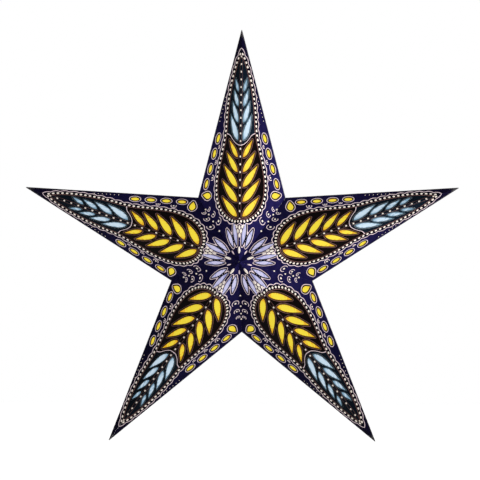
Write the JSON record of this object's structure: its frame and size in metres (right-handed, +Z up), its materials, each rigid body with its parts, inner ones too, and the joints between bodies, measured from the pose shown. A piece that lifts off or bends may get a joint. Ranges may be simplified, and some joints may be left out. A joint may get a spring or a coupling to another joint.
{
  "type": "paper star lantern",
  "caption": "Hollow folded paper star lantern with five pointed arms, pierced leaf windows backed with coloured tissue, hung by its top tip; folds flat like a fan.",
  "frame": {"origin": "the star's top tip, where it hangs; the centre of the star is 315 mm below it", "axes": "+Z up along the top arm, front of the star towards -Y, +X to the right as seen from the front"},
  "size_m": [0.5954, 0.1872, 0.5662],
  "materials": {
    "card": "dark blue printed card, slightly satin",
    "tissue": "translucent tissue, yellow in the middle of each arm, pale blue towards the tip",
    "hook_pad": "stiff woven hooks",
    "loop_pad": "soft brushed loops"
  },
  "bodies": {
    "top_arm_front_right": {"top_arm_front_right_panel": "card", "top_arm_front_right_tissue": "tissue"},
    "right_arm_front_left": {"right_arm_front_left_panel": "card", "right_arm_front_left_tissue": "tissue"},
    "right_arm_front_right": {"right_arm_front_right_panel": "card", "right_arm_front_right_tissue": "tissue"},
    "lower_right_arm_front_left": {"lower_right_arm_front_left_panel": "card", "lower_right_arm_front_left_tissue": "tissue"},
    "lower_right_arm_front_right": {"lower_right_arm_front_right_panel": "card", "lower_right_arm_front_right_tissue": "tissue"},
    "lower_right_front_closing_flap": {"lower_right_front_closing_flap": "card", "lower_right_front_hook_pad_1": "hook_pad", "lower_right_front_hook_pad_2": "hook_pad"},
    "top_arm_front_left": {"top_arm_front_left_panel": "card", "top_arm_front_left_tissue": "tissue"},
    "left_arm_front_right": {"left_arm_front_right_panel": "card", "left_arm_front_right_tissue": "tissue"},
    "left_arm_front_left": {"left_arm_front_left_panel": "card", "left_arm_front_left_tissue": "tissue"},
    "lower_left_arm_front_right": {"lower_left_arm_front_right_panel": "card", "lower_left_arm_front_right_tissue": "tissue"},
    "lower_left_arm_front_left": {"lower_left_arm_front_left_panel": "card", "lower_left_arm_front_left_tissue": "tissue"},
    "lower_left_front_closing_flap": {"lower_left_front_closing_flap": "card", "lower_left_front_loop_pad_1": "loop_pad", "lower_left_front_loop_pad_2": "loop_pad"},
    "top_arm_back_right": {"top_arm_back_right_panel": "card", "top_arm_back_right_tissue": "tissue"},
    "right_arm_back_left": {"right_arm_back_left_panel": "card", "right_arm_back_left_tissue": "tissue"},
    "right_arm_back_right": {"right_arm_back_right_panel": "card", "right_arm_back_right_tissue": "tissue"},
    "lower_right_arm_back_left": {"lower_right_arm_back_left_panel": "card", "lower_right_arm_back_left_tissue": "tissue"},
    "lower_right_arm_back_right": {"lower_right_arm_back_right_panel": "card", "lower_right_arm_back_right_tissue": "tissue"},
    "lower_right_back_closing_flap": {"lower_right_back_closing_flap": "card", "lower_right_back_hook_pad_1": "hook_pad", "lower_right_back_hook_pad_2": "hook_pad"},
    "top_arm_back_left": {"top_arm_back_left_panel": "card", "top_arm_back_left_tissue": "tissue"},
    "left_arm_back_right": {"left_arm_back_right_panel": "card", "left_arm_back_right_tissue": "tissue"},
    "left_arm_back_left": {"left_arm_back_left_panel": "card", "left_arm_back_left_tissue": "tissue"},
    "lower_left_arm_back_right": {"lower_left_arm_back_right_panel": "card", "lower_left_arm_back_right_tissue": "tissue"},
    "lower_left_arm_back_left": {"lower_left_arm_back_left_panel": "card", "lower_left_arm_back_left_tissue": "tissue"},
    "lower_left_back_closing_flap": {"lower_left_back_closing_flap": "card", "lower_left_back_loop_pad_1": "loop_pad", "lower_left_back_loop_pad_2": "loop_pad"}
  },
  "joints": [
    {"name": "top_to_right_front_valley_crease", "type": "hinge", "parent": "top_arm_front_right", "child": "right_arm_front_left", "pos_m": [0.00009, -0.09517, -0.31487], "axis": [-0.4311, -0.6798, -0.5934], "range_deg": [0, 119.32]},
    {"name": "right_arm_front_ridge_crease", "type": "hinge", "parent": "right_arm_front_left", "child": "right_arm_front_right", "pos_m": [-0.00047, -0.09335, -0.31515], "axis": [0.9105, 0.2887, 0.2959], "range_deg": [0, 82.81]},
    {"name": "right_to_lower_right_front_valley_crease", "type": "hinge", "parent": "right_arm_front_right", "child": "lower_right_arm_front_left", "pos_m": [0.00015, -0.09517, -0.31505], "axis": [-0.6975, -0.6798, 0.2266], "range_deg": [0, 119.32]},
    {"name": "lower_right_arm_front_ridge_crease", "type": "hinge", "parent": "lower_right_arm_front_left", "child": "lower_right_arm_front_right", "pos_m": [-0.00029, -0.09335, -0.3146], "axis": [0.5627, 0.2887, -0.7746], "range_deg": [0, 82.81]},
    {"name": "lower_right_front_flap_crease", "type": "hinge", "parent": "lower_right_arm_front_right", "child": "lower_right_front_closing_flap", "pos_m": [0.00125, -0.0948, -0.31482], "axis": [0, -0.6798, 0.7334], "range_deg": [0, 60.75]},
    {"name": "top_arm_front_ridge_crease", "type": "hinge", "parent": "top_arm_front_right", "child": "top_arm_front_left", "pos_m": [0, -0.09335, -0.3155], "axis": [0, -0.2887, -0.9574], "range_deg": [0, 82.81]},
    {"name": "left_to_top_front_valley_crease", "type": "hinge", "parent": "top_arm_front_left", "child": "left_arm_front_right", "pos_m": [-0.00009, -0.09517, -0.31487], "axis": [-0.4311, 0.6798, 0.5934], "range_deg": [0, 119.32]},
    {"name": "left_arm_front_ridge_crease", "type": "hinge", "parent": "left_arm_front_right", "child": "left_arm_front_left", "pos_m": [0.00047, -0.09335, -0.31515], "axis": [0.9105, -0.2887, -0.2959], "range_deg": [0, 82.81]},
    {"name": "lower_left_to_left_front_valley_crease", "type": "hinge", "parent": "left_arm_front_left", "child": "lower_left_arm_front_right", "pos_m": [-0.00015, -0.09517, -0.31505], "axis": [-0.6975, 0.6798, -0.2266], "range_deg": [0, 119.32]},
    {"name": "lower_left_arm_front_ridge_crease", "type": "hinge", "parent": "lower_left_arm_front_right", "child": "lower_left_arm_front_left", "pos_m": [0.00029, -0.09335, -0.3146], "axis": [0.5627, -0.2887, 0.7746], "range_deg": [0, 82.81]},
    {"name": "lower_left_front_flap_crease", "type": "hinge", "parent": "lower_left_arm_front_left", "child": "lower_left_front_closing_flap", "pos_m": [-0.00125, -0.0948, -0.31482], "axis": [0, 0.6798, -0.7334], "range_deg": [0, 60.75]},
    {"name": "top_arm_right_edge_crease", "type": "hinge", "parent": "top_arm_front_right", "child": "top_arm_back_right", "pos_m": [0, 0, 0], "axis": [0.2513, 0, -0.9679], "range_deg": [0, 78.5]},
    {"name": "top_to_right_back_valley_crease", "type": "hinge", "parent": "top_arm_back_right", "child": "right_arm_back_left", "pos_m": [0.00009, 0.09517, -0.31487], "axis": [0.4311, -0.6798, 0.5934], "range_deg": [0, 119.32]},
    {"name": "right_arm_back_ridge_crease", "type": "hinge", "parent": "right_arm_back_left", "child": "right_arm_back_right", "pos_m": [-0.00047, 0.09335, -0.31515], "axis": [-0.9105, 0.2887, -0.2959], "range_deg": [0, 82.81]},
    {"name": "right_to_lower_right_back_valley_crease", "type": "hinge", "parent": "right_arm_back_right", "child": "lower_right_arm_back_left", "pos_m": [0.00015, 0.09517, -0.31505], "axis": [0.6975, -0.6798, -0.2266], "range_deg": [0, 119.32]},
    {"name": "lower_right_arm_back_ridge_crease", "type": "hinge", "parent": "lower_right_arm_back_left", "child": "lower_right_arm_back_right", "pos_m": [-0.00029, 0.09335, -0.3146], "axis": [-0.5627, 0.2887, 0.7746], "range_deg": [0, 82.81]},
    {"name": "lower_right_back_flap_crease", "type": "hinge", "parent": "lower_right_arm_back_right", "child": "lower_right_back_closing_flap", "pos_m": [0.00125, 0.0948, -0.31482], "axis": [0, -0.6798, -0.7334], "range_deg": [0, 60.75]},
    {"name": "top_arm_back_ridge_crease", "type": "hinge", "parent": "top_arm_back_right", "child": "top_arm_back_left", "pos_m": [0, 0.09335, -0.3155], "axis": [0, -0.2887, 0.9574], "range_deg": [0, 82.81]},
    {"name": "left_to_top_back_valley_crease", "type": "hinge", "parent": "top_arm_back_left", "child": "left_arm_back_right", "pos_m": [-0.00009, 0.09517, -0.31487], "axis": [0.4311, 0.6798, -0.5934], "range_deg": [0, 119.32]},
    {"name": "left_arm_back_ridge_crease", "type": "hinge", "parent": "left_arm_back_right", "child": "left_arm_back_left", "pos_m": [0.00047, 0.09335, -0.31515], "axis": [-0.9105, -0.2887, 0.2959], "range_deg": [0, 82.81]},
    {"name": "lower_left_to_left_back_valley_crease", "type": "hinge", "parent": "left_arm_back_left", "child": "lower_left_arm_back_right", "pos_m": [-0.00015, 0.09517, -0.31505], "axis": [0.6975, 0.6798, 0.2266], "range_deg": [0, 119.32]},
    {"name": "lower_left_arm_back_ridge_crease", "type": "hinge", "parent": "lower_left_arm_back_right", "child": "lower_left_arm_back_left", "pos_m": [0.00029, 0.09335, -0.3146], "axis": [-0.5627, -0.2887, -0.7746], "range_deg": [0, 82.81]},
    {"name": "lower_left_back_flap_crease", "type": "hinge", "parent": "lower_left_arm_back_left", "child": "lower_left_back_closing_flap", "pos_m": [-0.00125, 0.0948, -0.31482], "axis": [0, 0.6798, 0.7334], "range_deg": [0, 60.75]}
  ],
  "couplings": [
    {"joint": "top_to_right_front_valley_crease", "follows": "top_arm_right_edge_crease", "ratio": 1.5193},
    {"joint": "right_arm_front_ridge_crease", "follows": "top_arm_right_edge_crease", "ratio": 1.0542},
    {"joint": "right_to_lower_right_front_valley_crease", "follows": "top_arm_right_edge_crease", "ratio": 1.5193},
    {"joint": "lower_right_arm_front_ridge_crease", "follows": "top_arm_right_edge_crease", "ratio": 1.0542},
    {"joint": "lower_right_front_flap_crease", "follows": "top_arm_right_edge_crease", "ratio": 0.77325},
    {"joint": "top_arm_front_ridge_crease", "follows": "top_arm_right_edge_crease", "ratio": 1.0542},
    {"joint": "left_to_top_front_valley_crease", "follows": "top_arm_right_edge_crease", "ratio": 1.5193},
    {"joint": "left_arm_front_ridge_crease", "follows": "top_arm_right_edge_crease", "ratio": 1.0542},
    {"joint": "lower_left_to_left_front_valley_crease", "follows": "top_arm_right_edge_crease", "ratio": 1.5193},
    {"joint": "lower_left_arm_front_ridge_crease", "follows": "top_arm_right_edge_crease", "ratio": 1.0542},
    {"joint": "lower_left_front_flap_crease", "follows": "top_arm_right_edge_crease", "ratio": 0.77325},
    {"joint": "top_to_right_back_valley_crease", "follows": "top_arm_right_edge_crease", "ratio": 1.5193},
    {"joint": "right_arm_back_ridge_crease", "follows": "top_arm_right_edge_crease", "ratio": 1.0542},
    {"joint": "right_to_lower_right_back_valley_crease", "follows": "top_arm_right_edge_crease", "ratio": 1.5193},
    {"joint": "lower_right_arm_back_ridge_crease", "follows": "top_arm_right_edge_crease", "ratio": 1.0542},
    {"joint": "lower_right_back_flap_crease", "follows": "top_arm_right_edge_crease", "ratio": 0.77325},
    {"joint": "top_arm_back_ridge_crease", "follows": "top_arm_right_edge_crease", "ratio": 1.0542},
    {"joint": "left_to_top_back_valley_crease", "follows": "top_arm_right_edge_crease", "ratio": 1.5193},
    {"joint": "left_arm_back_ridge_crease", "follows": "top_arm_right_edge_crease", "ratio": 1.0542},
    {"joint": "lower_left_to_left_back_valley_crease", "follows": "top_arm_right_edge_crease", "ratio": 1.5193},
    {"joint": "lower_left_arm_back_ridge_crease", "follows": "top_arm_right_edge_crease", "ratio": 1.0542},
    {"joint": "lower_left_back_flap_crease", "follows": "top_arm_right_edge_crease", "ratio": 0.77325}
  ]
}
